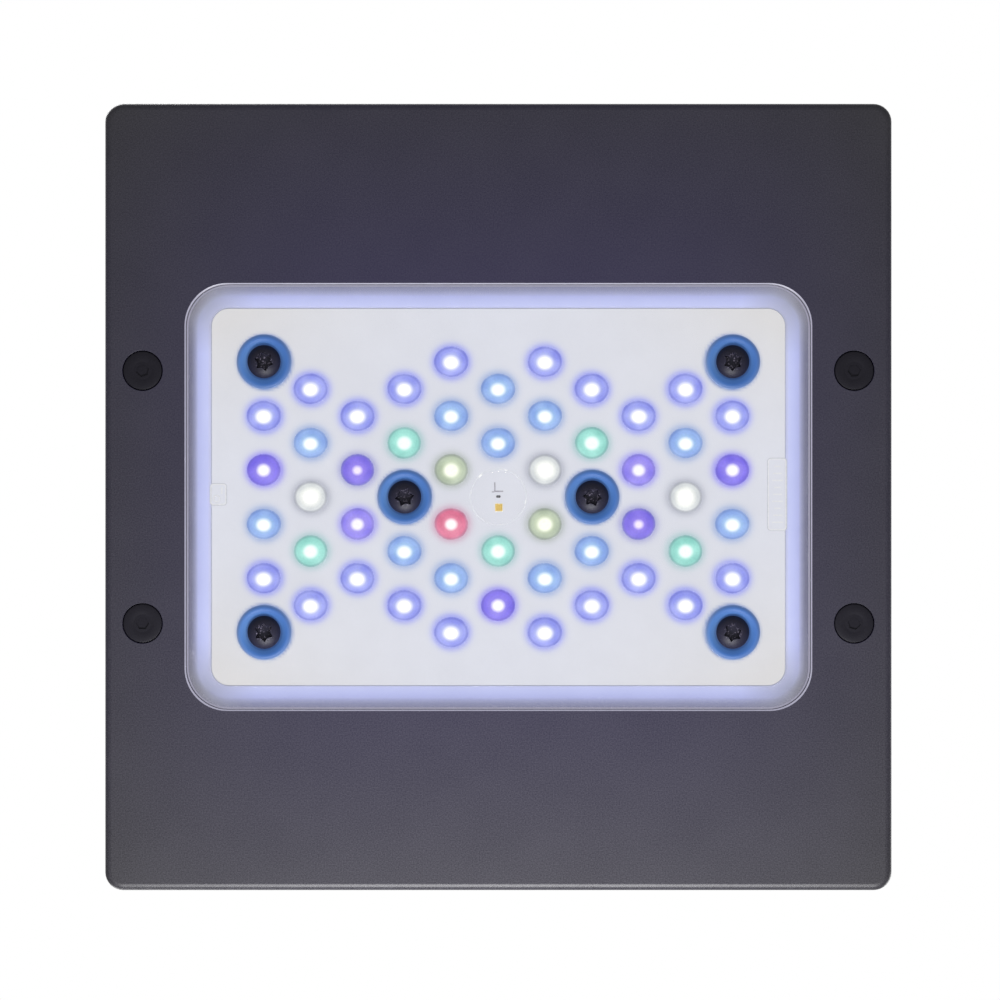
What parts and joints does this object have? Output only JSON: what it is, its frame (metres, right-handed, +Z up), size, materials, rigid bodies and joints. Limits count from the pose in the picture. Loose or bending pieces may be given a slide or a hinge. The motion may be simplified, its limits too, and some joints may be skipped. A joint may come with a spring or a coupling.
{
  "type": "led aquarium light",
  "caption": "Flat square LED aquarium lamp with a lens window of multicoloured emitters underneath, a finned heat sink, and a top fan behind a honeycomb guard.",
  "frame": {"origin": "middle of the bezel's face, the lamp's underside, on the plane it rests on when laid down", "axes": "+Z up, out of the fan intake, so the LEDs shine along -Z; -Y is the front with the control button, +Y the rear with the power inlet"},
  "size_m": [0.18, 0.18, 0.04],
  "materials": {
    "black_coat": "fine-textured charcoal powder coat",
    "black_steel": "black oxide steel",
    "blue_anodised": "blue anodised, satin",
    "clear_lens": "clear moulded lens",
    "silicone": "soft translucent silicone",
    "white_board": "white solder mask on an aluminium-cored board",
    "amber_chip": "amber resin",
    "bare_aluminium": "bare extruded",
    "black_plastic": "moulded black plastic",
    "copper_winding": "enamelled copper wire",
    "brass": "turned brass",
    "circuit_board": "green solder mask",
    "component_sleeve": "dark sleeve",
    "steel": "plated steel",
    "lead_sleeve": "soft wire insulation"
  },
  "bodies": {
    "lamp": {"bezel_housing": "black_coat", "top_cover": "black_coat", "fan_grille": "black_steel", "face_screw_1": "black_steel", "face_screw_2": "black_steel", "face_screw_3": "black_steel", "face_screw_4": "black_steel", "lens_screw_1": "black_steel", "lens_screw_2": "black_steel", "lens_screw_3": "black_steel", "lens_screw_4": "black_steel", "lens_screw_5": "black_steel", "lens_screw_6": "black_steel", "cover_screw_1": "black_steel", "cover_screw_2": "black_steel", "cover_screw_3": "black_steel", "cover_screw_4": "black_steel", "fan_screw_1": "black_steel", "fan_screw_2": "black_steel", "fan_screw_3": "black_steel", "fan_screw_4": "black_steel", "lens_washer_1": "blue_anodised", "lens_washer_2": "blue_anodised", "lens_washer_3": "blue_anodised", "lens_washer_4": "blue_anodised", "lens_washer_5": "blue_anodised", "lens_washer_6": "blue_anodised", "lens_plate": "clear_lens", "status_light": "clear_lens", "lens_gasket": "silicone", "thermal_pad": "silicone", "led_board": "white_board", "sensor_chip": "amber_chip", "heat_sink": "bare_aluminium", "fan_frame": "black_plastic", "sensor_eye": "black_plastic", "control_chip": "black_plastic", "dc_socket": "black_plastic", "fan_stator": "copper_winding", "fan_bearing": "brass", "hanger_insert_1": "brass", "hanger_insert_2": "brass", "hanger_insert_3": "brass", "hanger_insert_4": "brass", "driver_board": "circuit_board", "key_board": "circuit_board", "capacitor_1": "component_sleeve", "capacitor_2": "component_sleeve", "capacitor_3": "component_sleeve", "choke_1": "component_sleeve", "choke_2": "component_sleeve", "wireless_module": "steel", "tact_switch": "steel", "led_lead": "lead_sleeve", "fan_lead": "lead_sleeve", "key_lead": "lead_sleeve"},
    "fan": {"fan_rotor": "black_plastic"},
    "button": {"mode_button": "black_plastic"}
  },
  "joints": [
    {"name": "fan_spin", "type": "hinge", "parent": "lamp", "child": "fan", "pos_m": [0, 0, 0.0285], "axis": [0, 0, 1], "continuous": true},
    {"name": "button_press", "type": "slide", "parent": "lamp", "child": "button", "axis": [0, 0, -1], "range_m": [0, 0.001], "stiffness_N_per_m": 800, "springref_m": -0.0005}
  ]
}
